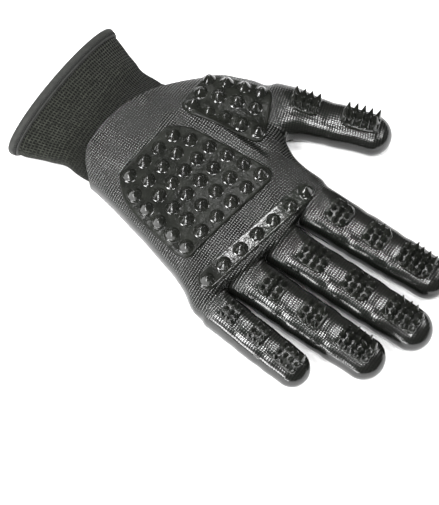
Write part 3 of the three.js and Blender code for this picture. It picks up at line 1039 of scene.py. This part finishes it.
def cuff_ring(x, offset, turns):
    """Points round the cuff at x, bowed out at the hem."""
    # The waist lies at the edge of the coat.
    inner_x = x + WAIST_SHIFT * ease(np.clip((x - hem_x - 3) / 26, 0, 1))
    low, high, floor, top = [np.interp(inner_x, probe_x, sections[:, k]) for k in range(4)]
    # Inside the coat it follows the coat.
    under = ease(np.clip((x - wrist_x + 20) / 13, 0, 1))
    palm_low, palm_high, palm_top = palm_sizes(max(x, little_side[0]))
    low += under * (palm_low + 3.0 - low)
    high += under * (palm_high - thumb_side_trim(x) - 2.4 - high)
    top += under * (palm_top - 4.2 - top)
    floor += under * (1.6 - floor)
    c, s = np.cos(turns), np.sin(turns)
    u = np.sign(c) * np.abs(c) ** (2 / SECTION_POWER) * ((high - low) / 2 + offset)
    v = np.sign(s) * np.abs(s) ** (2 / SECTION_POWER) * ((top - floor) / 2 + offset)
    y = (low + high) / 2 + u
    z = (floor + top) / 2 + v
    bow = HEM_BOW * np.clip((x - (wrist_x - 7)) / (hem_x - (wrist_x - 7)), 0, 1)
    shift = bow * (1 - (u / ((high - low) / 2 + 6)) ** 2)
    return np.stack([np.full_like(y, x) - shift, y, z], 1)


def ring_turns(count):
    """Angles that space points evenly round the hem's section."""
    fine = np.linspace(0, 2 * math.pi, 4001)
    ring = cuff_ring(hem_x + 12, 0, fine)
    run = np.concatenate([[0], np.cumsum(np.linalg.norm(np.diff(ring, axis=0), axis=1))])
    return np.interp(np.linspace(0, run[-1], count, endpoint=False), run, fine)


def outward(x, turns):
    """Unit steps out of the cuff's surface."""
    step = cuff_ring(x, 1.0, turns) - cuff_ring(x, 0.0, turns)
    return step / np.linalg.norm(step, axis=1)[:, None]


def tube_faces(rows, count, closed_rows=False):
    faces = []
    for r in range(rows if closed_rows else rows - 1):
        following = (r + 1) % rows
        for k in range(count):
            j = (k + 1) % count
            faces.append([r * count + k, following * count + k, following * count + j, r * count + j])
    return faces


CUFF_STEP, LINING_STEP = 0.8, 1.6
CUFF_WALL = 1.25
RIB_HEIGHT = 0.16
CUFF_FLOOR = 0.35


def cuff_swell(x, turns):
    """The soft roll and the dip beside the coat, and a slow waviness."""
    roll = 0.7 * bell(x - wrist_x + 22, 6.0) - 0.5 * bell(x - wrist_x + 11, 5.0)
    return roll + 0.35 * np.sin(4 * turns + x / 5.0) * np.clip((x - hem_x - 0.6) / 20, 0, 1)


def build_cuff():
    """Ribbed outside, rounded hem edge and plain inside, as one open tube."""
    count = RIB_COUNT * RIB_STEPS
    turns = ring_turns(count)
    around = np.arange(count) / RIB_STEPS
    rib = np.cos(2 * math.pi * around)
    start, stop = hem_x + 0.6, wrist_x + 18.0
    rings, stations = [], []
    for x in np.arange(start, stop, CUFF_STEP):
        fade = np.clip((x - start) / 6, 0, 1) * np.clip((stop - x) / 4, 0, 1)
        grow = cuff_swell(x, turns) + RIB_HEIGHT * rib * fade
        ring = cuff_ring(x, 0.0, turns) + outward(x, turns) * grow[:, None]
        ring[:, 2] = np.maximum(ring[:, 2], CUFF_FLOOR)
        rings.append(ring)
        stations.append(x)
    inside = [(start - 0.35, start, -0.35), (start - 0.35, start, -0.85)]
    inside += [(x, x, -CUFF_WALL) for x in np.arange(start, stop + 14, LINING_STEP)]
    for x, section_x, offset in inside:
        rings.insert(0, cuff_ring(section_x, offset, turns) + np.array([x - section_x, 0, 0]))
        stations.insert(0, x)
    faces = [f[::-1] for f in tube_faces(len(rings), count)]
    obj = finish_mesh("cuff_knit", np.concatenate(rings), faces, KNIT)
    weave = [np.stack([np.full(count, x), around, np.ones(count)], 1) for x in stations]
    give_attribute(obj, "weave", np.concatenate(weave))
    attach(obj, "hand")
    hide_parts("cuff")


build_cuff()

# The welt: a folded band round the hem, with a ridge and a zigzag of thread beside it.
WELT_PROFILE = [
    (4.9, 0.15), (4.6, 0.75), (4.1, 1.15), (3.6, 1.0), (3.25, 0.7), (2.9, 0.95), (2.3, 1.45), (1.4, 1.75),
    (0.4, 1.8), (-0.6, 1.55), (-1.35, 1.0), (-1.75, 0.2), (-1.75, -0.6), (-1.4, -1.35), (-0.6, -1.85), (0.6, -2.0),
    (1.8, -1.95), (2.6, -1.75), (2.8, -1.45), (1.0, -1.1), (0.2, -0.6), (0.6, 0.0),
]
welt_x = hem_x + 0.9


def build_welt():
    count = 480
    turns = ring_turns(count)
    rings = []
    for dx, off in WELT_PROFILE:
        x = welt_x + dx
        section_x = max(x, probe_x[0])
        ring = cuff_ring(section_x, 0.0, turns) + outward(section_x, turns) * off
        ring[:, 0] += min(0.0, x - probe_x[0])
        ring[:, 2] = np.maximum(ring[:, 2], 0.2)
        rings.append(ring)
    points = np.concatenate(rings)
    faces = tube_faces(len(rings), count, closed_rows=True)
    obj = finish_mesh("cuff_binding_welt", points, faces, BINDING)
    run = np.linalg.norm(np.diff(np.vstack([rings[0], rings[0][:1]]), axis=0), axis=1).cumsum()
    along = np.repeat([p[0] for p in WELT_PROFILE], count)
    give_attribute(obj, "weave", np.stack([along, np.tile(run, len(rings)), np.ones(len(points))], 1))
    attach(obj, "hand")
    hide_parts("cuff_binding")


build_welt()


ZIGZAGS, ZIGZAG_STEPS = 180, 6
THREAD_RADIUS = 0.24


def sweep(path, radius, sides=6):
    """A closed thread along a loop of points."""
    path = np.asarray(path)
    ahead = np.roll(path, -1, axis=0) - np.roll(path, 1, axis=0)
    ahead /= np.linalg.norm(ahead, axis=1)[:, None]
    up = np.tile(np.array([1.0, 0.2, 0.1]), (len(path), 1))
    a = np.cross(ahead, up)
    a /= np.linalg.norm(a, axis=1)[:, None]
    b = np.cross(ahead, a)
    points = []
    for k in range(sides):
        turn = 2 * math.pi * k / sides
        points.append(path + (a * math.cos(turn) + b * math.sin(turn)) * radius)
    return np.stack(points, 1).reshape(-1, 3), tube_faces(len(path), sides, closed_rows=True)


def build_overlock():
    """Zigzag thread between the welt and its ridge."""
    count = ZIGZAGS * ZIGZAG_STEPS
    turns = ring_turns(count)
    near = cuff_ring(welt_x + 2.2, 1.5, turns)
    far = cuff_ring(welt_x + 3.7, 1.15, turns)
    phase = np.abs(((np.arange(count) / ZIGZAG_STEPS) % 1) * 2 - 1)
    path = near + (far - near) * phase[:, None]
    path[:, 2] = np.maximum(path[:, 2], 0.5)
    points, faces = sweep(path, THREAD_RADIUS)
    obj = finish_mesh("cuff_binding_overlock", points, faces, THREAD)
    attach(obj, "hand")


build_overlock()

# ---------------------------------------------------------------- floor, light and camera
FLOOR = Nodes("floor")
FLOOR.give("Base Color", (0.86, 0.86, 0.86, 1))
FLOOR.give("Roughness", 0.85)
FLOOR_HALF, FLOOR_Z = 3000, -0.2
floor_corners = [(a * FLOOR_HALF, b * FLOOR_HALF, FLOOR_Z) for a, b in ((-1, -1), (1, -1), (1, 1), (-1, 1))]
floor = finish_mesh("floor", floor_corners, [[0, 1, 2, 3]], FLOOR.material, smooth=False)

CAMERA_TARGET = np.array([10.09, -44.48, 20.0])
CAMERA_AZ, CAMERA_EL, CAMERA_DISTANCE = 35.0, 67.0, 750.0
CAMERA_LENS, SENSOR_WIDTH = 110.817, 36.0


def camera_basis(az, el):
    a, e = math.radians(az), math.radians(el)
    right = Vector((math.cos(a), math.sin(a), 0))
    forward = Vector((-math.sin(a) * math.cos(e), math.cos(a) * math.cos(e), -math.sin(e)))
    return right, right.cross(forward), forward


def aim(obj, position, target):
    obj.location = Vector(position) * MM
    obj.rotation_euler = (Vector(target) - Vector(position)).to_track_quat("-Z", "Y").to_euler()


right, up, forward = camera_basis(CAMERA_AZ, CAMERA_EL)
camera_data = bpy.data.cameras.new("camera")
camera = bpy.data.objects.new("camera", camera_data)
bpy.context.scene.collection.objects.link(camera)
aim(camera, Vector(CAMERA_TARGET) - forward * CAMERA_DISTANCE, CAMERA_TARGET)
camera_data.sensor_fit = "HORIZONTAL"
camera_data.sensor_width = SENSOR_WIDTH
camera_data.lens = CAMERA_LENS
camera_data.clip_start = 0.01
bpy.context.scene.camera = camera


def softbox(name, offset, size, power):
    """A light placed by how far right, up and back it is from the glove, as seen in the camera."""
    data = bpy.data.lights.new(name, "AREA")
    data.shape = "RECTANGLE"
    data.size, data.size_y = size[0] * MM, size[1] * MM
    data.energy = power
    light = bpy.data.objects.new(name, data)
    bpy.context.scene.collection.objects.link(light)
    spot = Vector(CAMERA_TARGET) + right * offset[0] + up * offset[1] - forward * offset[2]
    aim(light, spot, CAMERA_TARGET)
    return light


# Boxes of light that show in the coat, and one overhead that lights it without showing.
softbox("key", (-500, 80, 800), (220, 360), 11)
softbox("left_front", (-640, -420, 480), (420, 160), 6)
softbox("front", (-330, -760, 330), (420, 140), 4)
softbox("mirror", (150, 640, 725), (280, 120), 4.2)
softbox("thumb_streak", (140, 120, 950), (300, 170), 6.0)
softbox("left_back", (-420, 760, 300), (600, 240), 4)
softbox("right_back", (700, 360, 420), (200, 160), 2)
overhead = softbox("overhead", (0, 200, 900), (1100, 1100), 5)
overhead.visible_glossy = False

world = bpy.data.worlds.new("world")
world.use_nodes = True
world.node_tree.nodes["Background"].inputs["Color"].default_value = (1, 1, 1, 1)
world.node_tree.nodes["Background"].inputs["Strength"].default_value = 0.12
bpy.context.scene.world = world
bpy.context.scene.view_settings.view_transform = "Standard"
